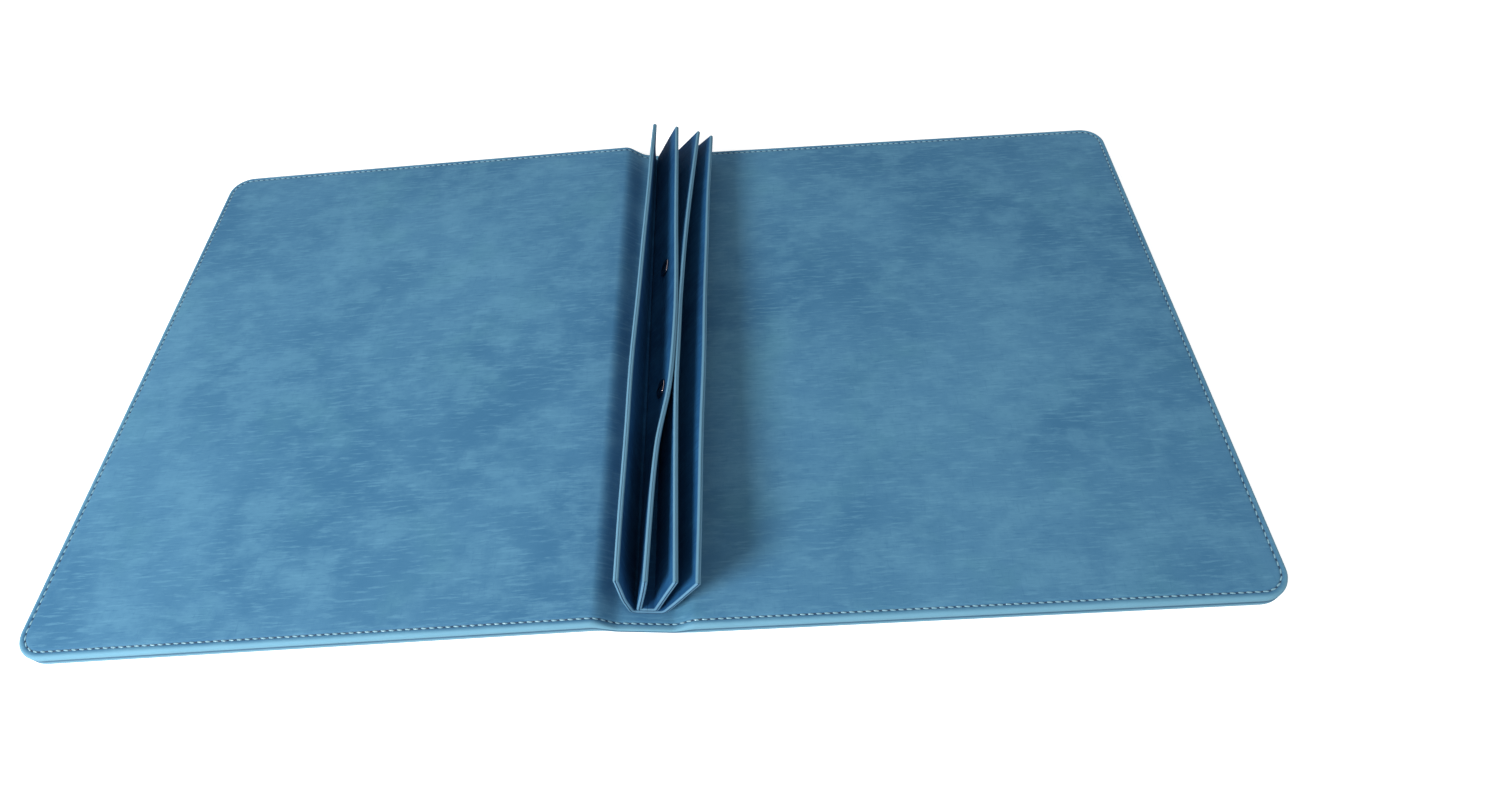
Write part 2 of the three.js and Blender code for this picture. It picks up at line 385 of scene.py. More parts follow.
def makePlain(name, colour, roughness, metallic=0.0, grainScale=900.0, bumpDistance=5e-5):
    material = bpy.data.materials.new(name)
    material.use_nodes = True
    nodes, links = material.node_tree.nodes, material.node_tree.links
    bsdf = nodes["Principled BSDF"]
    vector = nodes.new("ShaderNodeTexCoord").outputs["Object"]
    grain = noise(nodes, links, vector, grainScale, 3, 0.6)
    darker = tuple(plain["darkShare"] * value for value in colour[:3]) + (1.0,)
    links.new(blendColour(nodes, links, grain, darker, colour), bsdf.inputs["Base Color"])
    roughest = roughness * plain["roughestShare"]
    links.new(band(nodes, links, grain, 0.2, 0.9, roughest), bsdf.inputs["Roughness"])
    bump = nodes.new("ShaderNodeBump")
    bump.inputs["Strength"].default_value = plain["bumpStrength"]
    bump.inputs["Distance"].default_value = bumpDistance
    links.new(grain, bump.inputs["Height"])
    links.new(bump.outputs["Normal"], bsdf.inputs["Normal"])
    bsdf.inputs["Metallic"].default_value = metallic
    return material


coverLeather = makeLeather(
    "coverLeather", "coverDark", "coverMid", "coverLight", "coverGreen", "coverEdgeHighlight", "coverSeamShade", 0.25)
finLeather = makeLeather(
    "finLeather", "finDark", "finMid", "finLight", "finMid", "finEdgeHighlight", "finPlyShade", 0.12)
# Thread of the leather's own blue, painted paler for the highlights along its twist
threadTwist = makePlain("threadTwist", linear(134, 180, 198), 0.7, 0.0, 2500.0, 8e-5)
# Painted shade: flat dark discs stand for the shade inside the needle holes
needleHole = makePlain("needleHole", linear(24, 58, 88), 0.8, 0.0, 2500.0)
screwMetal = makePlain("screwMetal", linear(176, 160, 158), 0.2, 1.0, 1200.0, 1e-5)
boardFibre = makePlain("boardFibre", linear(158, 150, 138), 0.9, 0.0, 1500.0, 1e-4)
print("materials made")


# Edges steeper than these stay sharp, on a sheet or fin and along a cut
sharpAngle = {
    "sheet": math.radians(65),
    "cut": math.radians(40),
}


def newPiece(name, points, faces, material, rounded=True):
    mesh = bpy.data.meshes.new(name)
    mesh.from_pydata([tuple(value * mm for value in point) for point in points], [], faces)
    work = bmesh.new()
    work.from_mesh(mesh)
    bmesh.ops.remove_doubles(work, verts=work.verts, dist=1e-7)
    bmesh.ops.recalc_face_normals(work, faces=work.faces)
    work.to_mesh(mesh)
    work.free()
    if rounded:
        mesh.shade_smooth()
    mesh.materials.append(material)
    piece = bpy.data.objects.new(name, mesh)
    bpy.context.scene.collection.objects.link(piece)
    return piece


# Faces of a box whose points are one ring of four, then the other
boxFaces = [(0, 1, 2, 3), (7, 6, 5, 4), (0, 4, 5, 1), (1, 5, 6, 2), (2, 6, 7, 3), (3, 7, 4, 0)]


# Takes the cutter's shape out of a piece, and leaves the cut's edges sharp
def subtract(piece, cutter):
    modifier = piece.modifiers.new("cut", "BOOLEAN")
    modifier.operation = "DIFFERENCE"
    modifier.solver = "EXACT"
    modifier.use_self = True
    modifier.object = cutter
    bpy.context.view_layer.update()
    cut = bpy.data.meshes.new_from_object(piece.evaluated_get(bpy.context.evaluated_depsgraph_get()))
    piece.modifiers.clear()
    piece.data = cut
    cut.set_sharp_from_angle(angle=sharpAngle["cut"])
    bpy.data.objects.remove(cutter)


# The skin of a block of lattice points: place(i, j, k) gives a point and the values of its attributes.
def blockShell(name, counts, place, material):
    points, values, numbers = [], [], {}
    ni, nj, nk = counts

    def corner(i, j, k):
        if (i, j, k) not in numbers:
            point, value = place(i, j, k)
            numbers[i, j, k] = len(points)
            points.append(point)
            values.append(value)
        return numbers[i, j, k]

    faces = []

    def face(*lattice):
        faces.append([corner(*index) for index in lattice])

    for i in range(ni - 1):
        for j in range(nj - 1):
            for k in (0, nk - 1):
                face((i, j, k), (i + 1, j, k), (i + 1, j + 1, k), (i, j + 1, k))
    for i in range(ni - 1):
        for k in range(nk - 1):
            for j in (0, nj - 1):
                face((i, j, k), (i + 1, j, k), (i + 1, j, k + 1), (i, j, k + 1))
    for j in range(nj - 1):
        for k in range(nk - 1):
            for i in (0, ni - 1):
                face((i, j, k), (i, j + 1, k), (i, j + 1, k + 1), (i, j, k + 1))
    mesh = bpy.data.meshes.new(name)
    mesh.from_pydata([tuple(value * mm for value in point) for point in points], [], faces)
    # The painted highlight on the edges and the painted shade at the seams and partings, read by the
    # leather's material
    for index, attributeName in enumerate(("edgeHighlight", "seamShadeLine")):
        layer = mesh.attributes.new(attributeName, "FLOAT", "POINT")
        layer.data.foreach_set("value", [value[index] for value in values])
    work = bmesh.new()
    work.from_mesh(mesh)
    bmesh.ops.recalc_face_normals(work, faces=work.faces)
    work.to_mesh(mesh)
    work.free()
    mesh.shade_smooth()
    mesh.set_sharp_from_angle(angle=sharpAngle["sheet"])
    mesh.materials.append(material)
    piece = bpy.data.objects.new(name, mesh)
    bpy.context.scene.collection.objects.link(piece)
    return piece


def smooth(low, high, value):
    t = min(max((value - low) / (high - low), 0.0), 1.0)
    return t * t * (3 - 2 * t)


# A curve from first to last that leaves and arrives along the given vectors
def curve(first, last, leave, arrive, t):
    point = first * (2 * t ** 3 - 3 * t ** 2 + 1) + last * (3 * t ** 2 - 2 * t ** 3)
    return point + leave * (t ** 3 - 2 * t ** 2 + t) + arrive * (t ** 3 - t ** 2)


def curveSlope(first, last, leave, arrive, t):
    slope = first * (6 * t ** 2 - 6 * t) + last * (6 * t - 6 * t ** 2)
    return slope + leave * (3 * t ** 2 - 4 * t + 1) + arrive * (3 * t ** 2 - 2 * t)


# Grid lines close together at the edges, where the leather rolls over and the stitches pull it in
edgeLines = [0.0, 0.3, 0.75, 1.28, 1.34, 1.9, 2.35, 2.7, 3.0, 3.3, 3.65, 4.3, 5.4, 7.0, 9.0, 11.0, 13.0]


def spread(start, stop, step):
    count = max(round((stop - start) / step), 1)
    return [start + (stop - start) * index / count for index in range(1, count)]


def coverLines():
    x = [0.0] + spread(0.0, covers["joinX"], covers["spineGrid"]) + [covers["joinX"]]
    inner = foreX - covers["cornerRadius"]
    x += spread(covers["joinX"], inner, covers["boardGrid"])
    x += [foreX - line for line in reversed(edgeLines)]
    inner = halfLength - covers["cornerRadius"]
    y = [line - halfLength for line in edgeLines] + spread(-inner, inner, covers["boardGrid"])
    y += [halfLength - line for line in reversed(edgeLines)]
    return x, y


# Bends a square corner of the grid round, keeping each line at its distance from the edge
def roundedCorner(x, y):
    radius = covers["cornerRadius"]
    p, q = foreX - x, halfLength - abs(y)
    if p >= radius or q >= radius:
        return x, y
    reach = radius - min(p, q)
    turn = 0.5 * (radius - q) / reach if p <= q else 1 - 0.5 * (radius - p) / reach
    angle = turn * math.pi / 2
    p, q = radius - reach * math.cos(angle), radius - reach * math.sin(angle)
    return foreX - p, math.copysign(halfLength - q, y)


# The surface that a skin or lining follows, in x and z, for a cover raised by lift at the spine.
# On the spine x is measured along its slope.
class Surface:
    def __init__(self, lift, side, coverZ, spineZ, inward):
        tilt = math.asin(lift / covers["width"])
        self.inward = inward
        self.boardAlong = Vector((math.cos(tilt), -math.sin(tilt)))
        self.boardUp = Vector((math.sin(tilt), math.cos(tilt)))
        self.boardStart = Vector((foreX, 0)) - self.boardAlong * foreX + self.boardUp * coverZ
        self.spineAlong = Vector((math.cos(spineTilt), -side * math.sin(spineTilt)))
        self.spineUp = Vector((side * math.sin(spineTilt), math.cos(spineTilt)))
        self.spineStart = Vector((0, spineMiddle.z)) + self.spineUp * spineZ

    def point(self, x, depth):
        kneeX, joinX = covers["kneeX"], covers["joinX"]
        if x >= joinX:
            place = self.boardStart + self.boardAlong * x + self.boardUp * (self.inward * depth)
            return place.x, place.y
        if x <= kneeX:
            place = self.spineStart + self.spineAlong * x + self.spineUp * (self.inward * depth)
            return place.x, place.y
        t = (x - kneeX) / (joinX - kneeX)
        first = self.spineStart + self.spineAlong * kneeX
        last = self.boardStart + self.boardAlong * joinX
        reach = (last - first).length
        run = (first, last, self.spineAlong * reach, self.boardAlong * reach)
        along = curveSlope(*run, t).normalized()
        place = curve(*run, t) + Vector((-along.y, along.x)) * (self.inward * depth)
        return place.x, place.y


# How far the outer face lies below the flat at a distance from the edge, with a slight crown inside
def faceDepth(edge, full, crown):
    roll = min(covers["edgeRoll"], full / 2)
    dip, beyond = covers["seamDip"], edge - covers["stitchInset"]
    depth = dip * math.exp(-(beyond / dip) ** 2)
    if edge < roll:
        depth += roll - math.sqrt(max(roll * roll - (roll - edge) ** 2, 0.0))
    if beyond > 0:
        depth -= crown * (1 - math.exp(-beyond / covers["crownReach"]))
    return depth


# The wrapped edge of a panel reaches to the seam, halfway between the inside and the outside
def panelDepth(cover, x):
    between = surfaces[cover, "lining"].point(x, 0)[1] - surfaces[cover, "skin"].point(x, 0)[1]
    return max((between - covers["seamGap"]) / 2, covers["skin"])


# Levels of a sheet: the hidden face, two round the wrapped edge, and the face that shows
sheetLevels = 4
sheetTone = {
    # Painted highlight on the wrapped and rolled edges, and painted shade where the sheets part and along
    # the stitch groove
    "wrapped": 0.9,
    "parting": (0.95, 0.5, 0.0),   # at each level below the face
    "edge": 0.8,
    "highlightReach": (0.3, 2.4),
    "seam": 0.75,
    "seamWidth": 0.4,
}


# How pale the leather is painted at the rolled edge, a painted highlight where light falls on it, and how
# dark along the seams, painted shade in the stitch groove and where the sheets part
def edgeTones(k, edge):
    if k < sheetLevels - 1:
        return sheetTone["wrapped"], sheetTone["parting"][k]
    paintedHighlight = sheetTone["edge"] * (1 - smooth(*sheetTone["highlightReach"], edge))
    away = (edge - covers["stitchInset"]) / sheetTone["seamWidth"]
    return paintedHighlight, sheetTone["seam"] * math.exp(-away ** 2)


def makeSheet(name, cover, part):
    side, surface = sides[cover], surfaces[cover, part]
    crown = covers["crown"] if part == "lining" else 0.0
    xs, ys = coverLines()

    def place(i, j, k):
        x, y = xs[i], ys[j]
        edge = min(foreX - x, halfLength - abs(y))
        full = panelDepth(cover, x)
        depth = faceDepth(edge, full, crown)
        if k == 0:
            depth = full if edge < covers["turnInWidth"] else covers["skin"] + 0.02
            if i == len(xs) - 1 or j in (0, len(ys) - 1):
                x, y = insetPoint(x, y, covers["turnInStep"])
        elif k < sheetLevels - 1:
            low = full - min(0.5, 0.3 * full)
            depth = low + (depth - low) * (k - 1) / (sheetLevels - 2)
        px, py = roundedCorner(x, y)
        px, pz = surface.point(px, depth)
        return (side * px, side * py, pz), edgeTones(k, edge)

    return blockShell(name, (len(xs), len(ys), sheetLevels), place, coverLeather)


def insetPoint(x, y, inset):
    x = min(x, foreX - inset)
    return x, math.copysign(min(abs(y), halfLength - inset), y)


surfaces = {
    ("back", "lining"): Surface(0.0, 1, covers["thickness"], covers["liningRise"], -1),
    ("back", "skin"): Surface(0.0, 1, 0.0, 0.0, 1),
    ("front", "lining"): Surface(covers["frontLift"], -1, covers["thickness"], covers["liningRise"], -1),
    ("front", "skin"): Surface(covers["frontLift"], -1, 0.0, 0.0, 1),
}
sides = {"back": 1, "front": -1}


def bendWith(piece):
    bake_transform(piece)


# A plain diamond trellis in a frame, pressed into the front
trellis = {
    "width": 150.0,
    "length": 204.0,
    "pitch": 34.0,
    "angle": math.radians(54),
    "groove": 1.6,
    "depth": 0.55,
}


def pressTrellis(piece, surface):
    halfWidth, halfHeight = trellis["width"] / 2, trellis["length"] / 2
    groove, depth = trellis["groove"], trellis["depth"]
    reach = math.hypot(trellis["width"], trellis["length"])
    points, faces = [], []

    def bar(start, stop):
        along = (stop - start).normalized()
        across = Vector((-along.y, along.x)) * groove / 2
        first = len(points)
        for z in (-depth, depth):
            for x, y in (start - across, start + across, stop + across, stop - across):
                points.append((x, y, z))
        for ring in boxFaces:
            faces.append([first + index for index in ring])

    # Each line is cut off where it meets the frame
    count = math.ceil(reach / 2 / trellis["pitch"])
    for k in range(-count, count + 1):
        for turn in (trellis["angle"], -trellis["angle"]):
            away = (k + 0.5) * trellis["pitch"]
            middle = Vector((math.cos(turn), math.sin(turn))) * away
            along = Vector((-math.sin(turn), math.cos(turn)))
            low, high = -reach, reach
            for axis, half in ((0, halfWidth), (1, halfHeight)):
                ends = sorted(((side * half - middle[axis]) / along[axis]) for side in (-1, 1))
                low, high = max(low, ends[0]), min(high, ends[1])
            if high - low > groove:
                bar(middle + along * (low - groove / 2), middle + along * (high + groove / 2))
    edgeX, edgeY = halfWidth + 1.5 * groove, halfHeight + 1.5 * groove
    for side in (-1, 1):
        bar(Vector((side * edgeX, -edgeY - groove / 2)), Vector((side * edgeX, edgeY + groove / 2)))
        bar(Vector((-edgeX - groove / 2, side * edgeY)), Vector((edgeX + groove / 2, side * edgeY)))
    centreX = foreX - covers["width"] / 2
    placed = []
    for x, y, z in points:
        px, pz = surface.point(centreX - x, z)
        placed.append((-px, y, pz))
    subtract(piece, newPiece("trellis_cutter", placed, faces, coverLeather, False))


def makeCovers():
    for (cover, part), surface in surfaces.items():
        label = "lining" if part == "lining" else "outer_skin"
        piece = makeSheet(f"{cover}_{label}_sheet", cover, part)
        if (cover, part) == ("front", "skin"):
            pressTrellis(piece, surface)
        bendWith(piece)
        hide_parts(f"{cover}_{label}", f"spine_{label}")


makeCovers()
print("covers made")

# Stitches, set along the seam by Geometry Nodes
stitch = {
    "pitch": 3.4,
    "length": 2.5,
    "width": 0.85,
    "height": 0.6,
    "slant": 9.0,
    "holeLength": 1.3,
    "holeWidth": 0.6,
    "holeHeight": 0.25,
    "depth": 0.3,        # of the seam's line below the leather's face
    "spineLine": (1.7, 2.0, 13),   # first place, step and number of the points on the spine
    "boardLine": (30, 10),         # first place and step on the board
    "cornerSteps": 12,
}


def stitchTree():
    tree = bpy.data.node_groups.new("stitchesAlongSeam", "GeometryNodeTree")
    tree.interface.new_socket("Geometry", in_out="INPUT", socket_type="NodeSocketGeometry")
    sizes = {"Pitch": "pitch", "Length": "length", "Width": "width", "Height": "height",
             "Hole Length": "holeLength", "Hole Width": "holeWidth", "Hole Height": "holeHeight"}
    for name, key in sizes.items():
        socket = tree.interface.new_socket(name, in_out="INPUT", socket_type="NodeSocketFloat")
        socket.default_value = stitch[key] * mm
    tree.interface.new_socket("Geometry", in_out="OUTPUT", socket_type="NodeSocketGeometry")
    nodes, links = tree.nodes, tree.links
    given, out = nodes.new("NodeGroupInput"), nodes.new("NodeGroupOutput")

    def ellipsoid(length, width, height, material, shift=None, slant=0.0):
        ball = nodes.new("GeometryNodeMeshUVSphere")
        ball.inputs["Segments"].default_value = 8
        ball.inputs["Rings"].default_value = 6
        ball.inputs["Radius"].default_value = 0.5
        scale = nodes.new("ShaderNodeCombineXYZ")
        links.new(given.outputs[width], scale.inputs["X"])
        links.new(given.outputs[height], scale.inputs["Y"])
        links.new(given.outputs[length], scale.inputs["Z"])
        move = nodes.new("GeometryNodeTransform")
        links.new(ball.outputs["Mesh"], move.inputs["Geometry"])
        links.new(scale.outputs[0], move.inputs["Scale"])
        turn = nodes.new("GeometryNodeTransform")
        turn.inputs["Rotation"].default_value = (0, math.radians(slant), 0)
        links.new(move.outputs[0], turn.inputs["Geometry"])
        if shift is not None:
            offset = nodes.new("ShaderNodeCombineXYZ")
            half = nodes.new("ShaderNodeMath")
            half.operation = "MULTIPLY"
            half.inputs[1].default_value = 0.5
            links.new(given.outputs[shift], half.inputs[0])
            links.new(half.outputs[0], offset.inputs["Z"])
            links.new(offset.outputs[0], turn.inputs["Translation"])
        paint = nodes.new("GeometryNodeSetMaterial")
        paint.inputs["Material"].default_value = material
        links.new(turn.outputs[0], paint.inputs["Geometry"])
        return paint.outputs[0]

    join = nodes.new("GeometryNodeJoinGeometry")
    links.new(ellipsoid("Length", "Width", "Height", threadTwist, None, stitch["slant"]), join.inputs[0])
    # The needle holes, dark with painted shade
    links.new(ellipsoid("Hole Length", "Hole Width", "Hole Height", needleHole, "Pitch"), join.inputs[0])
    spots = nodes.new("GeometryNodeCurveToPoints")
    spots.mode = "LENGTH"
    links.new(given.outputs["Geometry"], spots.inputs["Curve"])
    links.new(given.outputs["Pitch"], spots.inputs["Length"])
    copies = nodes.new("GeometryNodeInstanceOnPoints")
    links.new(spots.outputs["Points"], copies.inputs["Points"])
    links.new(spots.outputs["Rotation"], copies.inputs["Rotation"])
    links.new(join.outputs[0], copies.inputs["Instance"])
    real = nodes.new("GeometryNodeRealizeInstances")
    links.new(copies.outputs[0], real.inputs[0])
    shade = nodes.new("GeometryNodeSetShadeSmooth")
    links.new(real.outputs[0], shade.inputs[0])
    links.new(shade.outputs[0], out.inputs[0])
    return tree


# The seam's line round a cover, with points close together where the spine rises to the board
def seamPath(side, surface):
    inset, radius = covers["stitchInset"], covers["cornerRadius"]
    flatEnd = foreX - radius
    firstX, step, count = stitch["spineLine"]
    lineX = [firstX + step * index for index in range(count)]
    firstX, step = stitch["boardLine"]
    lineX += range(firstX, int(flatEnd) + 1, step)
    corners = [(x, inset - halfLength) for x in lineX]
    for step in range(stitch["cornerSteps"] + 1):
        angle = math.pi / 2 * (step / stitch["cornerSteps"] - 1)
        corners.append((flatEnd + (radius - inset) * math.cos(angle),
                        radius - halfLength + (radius - inset) * math.sin(angle)))
    corners += [(x, -y) for x, y in reversed(corners)]
    points = []
    for x, y in corners:
        px, pz = surface.point(x, stitch["depth"])
        points.append(Vector((side * px, side * y, pz)) * mm)
    return points


def makeStitches():
    tree = stitchTree()
    for (cover, part), surface in surfaces.items():
        label = "inside" if part == "lining" else "outside"
        points = seamPath(sides[cover], surface)
        line = bpy.data.curves.new("seamPath", "CURVE")
        line.dimensions = "3D"
        spline = line.splines.new("POLY")
        spline.points.add(len(points) - 1)
        for point, place in zip(spline.points, points):
            point.co = (*place, 1)
        path = bpy.data.objects.new("seamPath", line)
        bpy.context.scene.collection.objects.link(path)
        modifier = path.modifiers.new("stitches", "NODES")
        modifier.node_group = tree
        bpy.context.view_layer.update()
        ready = path.evaluated_get(bpy.context.evaluated_depsgraph_get())
        mesh = bpy.data.meshes.new_from_object(ready)
        bpy.data.objects.remove(path)
        name = f"{cover}_{label}_stitches"
        mesh.name = name
        piece = bpy.data.objects.new(name, mesh)
        bpy.context.scene.collection.objects.link(piece)
        bendWith(piece)
        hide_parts(f"{cover}_{label}_stitching")


makeStitches()
print("stitches made")

# Fins, in the spine's own frame: x across it, z up from its underside
fins = {
    "thickness": 2.2,
    "halfLength": 146.0,
    "outerZ": 3.1,
    "innerZ": 5.6,
    "innerBase": 4.6,
    "outerBase": (-7.0, 8.0),
    "clampedX": 4.7,
    "clampedZ": 19.0,
    "clampedLean": math.radians(17.5),
    "screwPlaces": (-40.0, 40.0),
    "flatReach": 5.05,
    "bendRadius": 3.2,
    "middleGap": 0.05,   # from each half of a channel to the middle of the spine
    "pairGap": 0.15,     # from the clamped pair's middle plane to each fin
    "splayPower": 0.9,
    "sagShare": 0.45,    # how far up an outer fin it sags, and by how much on the left and right
    "sag": (0.5, 0.4),
    "waveSize": 0.2,
    "outerWave": (0.6, 1.9),
    "pathPoints": 30,
    "grid": 4.0,
    "endStep": 0.6,
    "outerKeep": 0.15,   # shares of their lean that the fins keep when the covers close on them
    "innerKeep": 0.2,
    # middle of each top edge: its place along the spine, then x and z
    "first": ((-146, -14.0, 34.9), (-80, -13.0, 34.1), (-20, -12.3, 33.3), (60, -9.9, 32.3),
              (146, -7.0, 31.2)),
    "second": ((-146, -2.3, 35.1), (-82, 0.4, 34.4), (-50, 5.0, 33.8), (-25, 6.8, 33.5), (10, 7.7, 33.1),
               (64, 6.9, 32.3), (146, 6.2, 31.2)),
    "third": ((-146, 9.8, 35.4), (-80, 8.8, 33.8), (-44, 8.6, 33.0), (-20, 9.2, 32.3), (13, 10.1, 31.5),
              (75, 13.4, 30.0), (146, 19.0, 28.3)),
    "fourth": ((-146, 19.0, 34.4), (-42, 21.2, 31.4), (19, 22.6, 29.6), (73, 24.3, 28.0),
               (146, 26.8, 26.0)),
}
# Shares of the thickness, with the parting of the two plies in the middle
plyLines = [0.0, 0.1, 0.3, 0.46, 0.5, 0.54, 0.7, 0.9, 1.0]
plyRecess = [0.55, 0.2, 0.02, 0.0, 0.3, 0.0, 0.02, 0.2, 0.55]
# How pale the cut edges are painted, a painted highlight, and how dark their parting, painted shade in the
# plies' recess, along the top and at the ends
finTone = {
    "top": (1.0, 0.3),
    "end": (0.7, 1.0),
    "middle": 0.9,
    "rim": 0.55,
}


# A path of straight runs with rounded bends, as evenly spaced points
def roundedPath(corners, radius, count):
    points = [Vector(corners[0])]
    for before, corner, after in zip(corners, corners[1:], corners[2:]):
        before, corner, after = Vector(before), Vector(corner), Vector(after)
        arrive, leave = (corner - before), (after - corner)
        cut = min(radius, 0.45 * arrive.length, 0.45 * leave.length)
        start = corner - arrive.normalized() * cut
        stop = corner + leave.normalized() * cut
        points += [start.lerp(corner, t).lerp(corner.lerp(stop, t), t) for t in (0, 0.2, 0.4, 0.6, 0.8, 1)]
    points.append(Vector(corners[-1]))
    lengths = [0.0]
    for a, b in zip(points, points[1:]):
        lengths.append(lengths[-1] + (b - a).length)
    result = []
    for index in range(count):
        want = lengths[-1] * index / (count - 1)
        n = 0
        while n < len(lengths) - 2 and lengths[n + 1] < want:
            n += 1
        run = lengths[n + 1] - lengths[n]
        result.append(points[n].lerp(points[n + 1], (want - lengths[n]) / run if run > 1e-9 else 0.0))
    return result


# One half of a channel. Its top edge is at the start of its path or, for a right-hand fin, at the end.
def makeFin(name, cornersAt, tipFirst):
    half, step, count = fins["halfLength"], fins["endStep"], fins["pathPoints"]
    ys = [-half, step - half] + spread(step - half, half - step, fins["grid"]) + [half - step, half]
    paths = [roundedPath(cornersAt(y), fins["bendRadius"], count) for y in ys]

    def place(i, j, k):
        path, y = paths[j], ys[j]
        along = (path[min(i + 1, count - 1)] - path[max(i - 1, 0)]).normalized()
        share, recess = plyLines[k], plyRecess[k]
        point = path[i] + Vector((-along.y, along.x)) * share * fins["thickness"]
        edge, parting = 0.0, 0.0
        if i == (0 if tipFirst else count - 1):
            point += along * (recess if tipFirst else -recess)
            edge, parting = finTone["top"]
        if j in (0, len(ys) - 1):
            y -= math.copysign(recess, y)
            edge, parting = finTone["end"]
        # Painted shade at the plies' parting, painted highlight on the cut edges
        plyShade = parting if 0.45 < share < 0.55 else 0.0
        paintedHighlight = edge * finTone["middle" if 0 < k < len(plyLines) - 1 else "rim"]
        return tuple(onSpine(point.x, y, point.y)), (paintedHighlight, plyShade)

    return blockShell(name, (count, len(ys), len(plyLines)), place, finLeather)


# A gentle wave, as soft strips have along their free edges
def wave(y, shift):
    return fins["waveSize"] * (math.sin(y / 31 + shift) + 0.5 * math.sin(y / 13 + 2 * shift))


# A fin's top edge at a place along the spine, on a smooth curve through its points
def topEdge(name, y):
    points = fins[name]
    n = 0
    while n < len(points) - 2 and points[n + 1][0] < y:
        n += 1
    run = points[n + 1][0] - points[n][0]

    def slope(k, axis):
        before, after = points[max(k - 1, 0)], points[min(k + 1, len(points) - 1)]
        return (after[axis] - before[axis]) / (after[0] - before[0])

    return [curve(points[n][axis], points[n + 1][axis], slope(n, axis) * run, slope(n + 1, axis) * run,
                  (y - points[n][0]) / run) for axis in (1, 2)]


# Down an outer fin from its top edge to its foot, and in to the middle of the spine
def outerSide(y, side, name):
    index = 0 if side < 0 else 1
    baseX, sag, shift = (fins[key][index] for key in ("outerBase", "sag", "outerWave"))
    x, z = topEdge(name, y)
    outside = x + side * fins["thickness"] / 2 + wave(y, shift)
    share = fins["sagShare"]
    return [(outside, z), (share * outside + (1 - share) * baseX - sag, share * z),
            (baseX, fins["outerZ"]), (side * fins["middleGap"], fins["outerZ"])]


# Clamped between the screws, and opening out towards both ends
def innerSide(y, side, name):
    lean = math.tan(fins["clampedLean"])
    offset = (fins["thickness"] + fins["pairGap"]) / math.cos(fins["clampedLean"])
    clampedY = fins["screwPlaces"][1] + fins["flatReach"]
    away = max(abs(y) - clampedY, 0) / (fins["halfLength"] - clampedY)
    splay = math.sin(away * math.pi / 2) ** fins["splayPower"]
    tipX, tipZ = topEdge(name, math.copysign(fins["halfLength"], y))
    tipX += side * fins["thickness"] / 2
    base = side * fins["innerBase"]
    topX, topZ = topEdge(name, y)
    face = [(topX + side * fins["thickness"] / 2, topZ)]
    for z in (fins["clampedZ"] + fins["flatReach"], fins["clampedZ"] - fins["flatReach"]):
        clamped = fins["clampedX"] + (z - fins["clampedZ"]) * lean + side * offset
        opened = base + (tipX - base) * (z - fins["innerZ"]) / (tipZ - fins["innerZ"])
        opened += wave(y, side + 1.0) * (z - fins["innerZ"]) / tipZ
        face.append((clamped + (opened - clamped) * splay, z))
    return face + [(base, fins["innerZ"]), (side * fins["middleGap"], fins["innerZ"])]


def makeFins():
    # They lie flat against each other along the clamped pair
    outer = {
        "left": makeFin("outer_fin_left", lambda y: outerSide(y, -1, "first"), True),
        "right": makeFin("outer_fin_right", lambda y: outerSide(y, 1, "fourth")[::-1], False),
    }
    inner = {
        "left": makeFin("inner_fin_left", lambda y: innerSide(y, -1, "second"), True),
        "right": makeFin("inner_fin_right", lambda y: innerSide(y, 1, "third")[::-1], False),
    }
    for layer, channel in (("outer", outer), ("inner", inner)):
        for side, piece in channel.items():
            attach(piece, "spine")
            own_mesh(piece)
            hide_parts(f"{layer}_fin_channel")


makeFins()
print("fins made")

# Binding screws, turned on a lathe
screws = {
    "headRadius": 4.75,
    "headThickness": 1.2,
    "barrelRadius": 2.5,
    "boreRadius": 1.8,
    "boreDepth": 4.6,
    "seat": 2.65,
    "grip": 2.35,
    "slotWidth": 1.0,
    "slotDepth": 0.5,
    "clearance": 0.3,
    "rimShare": 0.45,    # of a head's thickness, below its dome
    "rimCut": 0.15,
    "domeSteps": 8,
    "sides": 48,
    "bevel": 0.08,
}


# A point given along a screw's axis and across it, for the screw at a place along the spine
def onScrew(along, y, z, place):
    lean = fins["clampedLean"]
    x = fins["clampedX"] + along * math.cos(lean) + z * math.sin(lean)
    return tuple(onSpine(x, place + y, fins["clampedZ"] - along * math.sin(lean) + z * math.cos(lean)))


def lathe(name, profile, place):
    count = screws["sides"]
    points, faces = [], []
    for radius, along in profile:
        for step in range(count):
            angle = 2 * math.pi * step / count
            points.append((along, radius * math.cos(angle), radius * math.sin(angle)))
    for ring in range(len(profile) - 1):
        for step in range(count):
            after = (step + 1) % count
            a, b = ring * count, (ring + 1) * count
            faces.append((a + step, a + after, b + after, b + step))
    turned = [onScrew(along, y, z, place) for along, y, z in points]
    return newPiece(name, turned, faces, screwMetal)


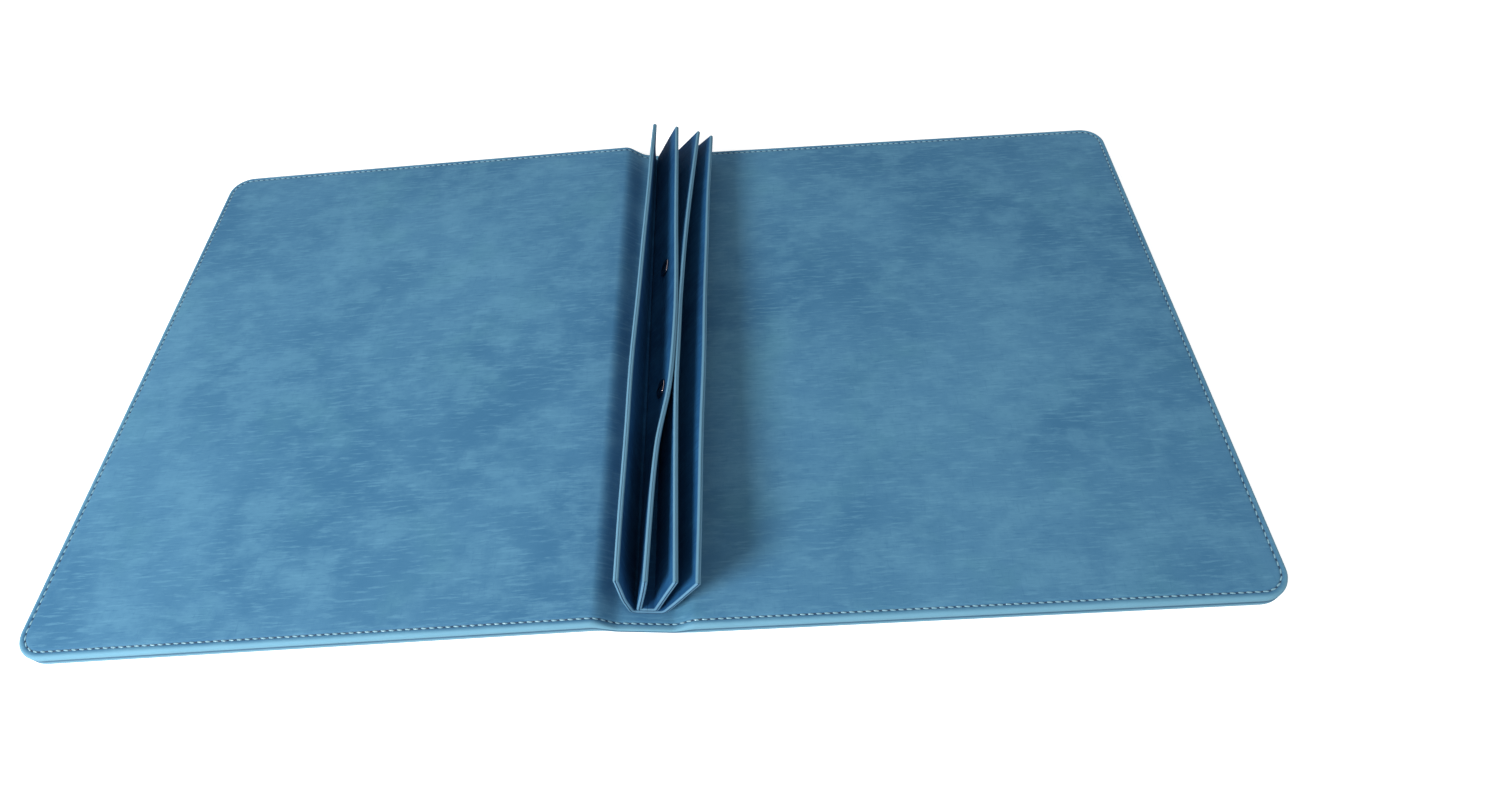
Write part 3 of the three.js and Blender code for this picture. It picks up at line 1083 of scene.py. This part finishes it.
def headProfile(outward):
    seat, thick, radius = screws["seat"], screws["headThickness"], screws["headRadius"]
    rimCut, rimTop = screws["rimCut"], seat + screws["rimShare"] * thick
    rim = [(radius - rimCut, seat), (radius, seat + rimCut), (radius, rimTop)]
    dome = []
    for step in range(1, screws["domeSteps"] + 1):
        angle = step / screws["domeSteps"] * math.pi / 2
        dome.append((radius * math.cos(angle), rimTop + (seat + thick - rimTop) * math.sin(angle)))
    return [(r, outward * x) for r, x in rim + dome]


# A screwdriver slot across the cap's head
def cutSlot(piece, place):
    halfWidth, halfLong = screws["slotWidth"] / 2, screws["headRadius"] + 1
    outside = -screws["seat"] - screws["headThickness"]
    ring = [(-halfWidth, -halfLong), (-halfWidth, halfLong), (halfWidth, halfLong), (halfWidth, -halfLong)]
    points = [onScrew(along, y, z, place) for along in (outside - 1, outside + screws["slotDepth"])
              for y, z in ring]
    subtract(piece, newPiece("slot_cutter", points, boxFaces, screwMetal, False))


def makeScrews():
    grip, seat, clearance = screws["grip"], screws["seat"], screws["clearance"]
    boreEnd = screws["boreDepth"] - grip
    shank, shankEnd = screws["boreRadius"] - clearance, boreEnd - clearance
    for number, place in enumerate(fins["screwPlaces"], 1):
        post = lathe(f"screw_post_{number}_turned", [
            (0.0, boreEnd), (screws["boreRadius"], boreEnd), (screws["boreRadius"], -grip),
            (screws["barrelRadius"], -grip), (screws["barrelRadius"], seat)] + headProfile(1), place)
        cap = lathe(f"screw_cap_{number}_turned", [
            (0.0, shankEnd), (shank, shankEnd), (shank, -seat)] + headProfile(-1), place)
        cutSlot(cap, place)
        for piece, node in ((post, f"screw_post_{number}"), (cap, f"screw_cap_{number}")):
            modifier = piece.modifiers.new("edges", "BEVEL")
            modifier.width = screws["bevel"] * mm
            modifier.limit_method = "ANGLE"
            modifier.segments = 2
            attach(piece, "spine")
            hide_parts(node)


makeScrews()
print("screws made")

# The boards stay as they are inside the covers
for nodeName in ("back_outer_board", "back_inner_board", "front_outer_board", "front_inner_board"):
    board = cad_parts[nodeName]
    board.data.materials.clear()
    board.data.materials.append(boardFibre)
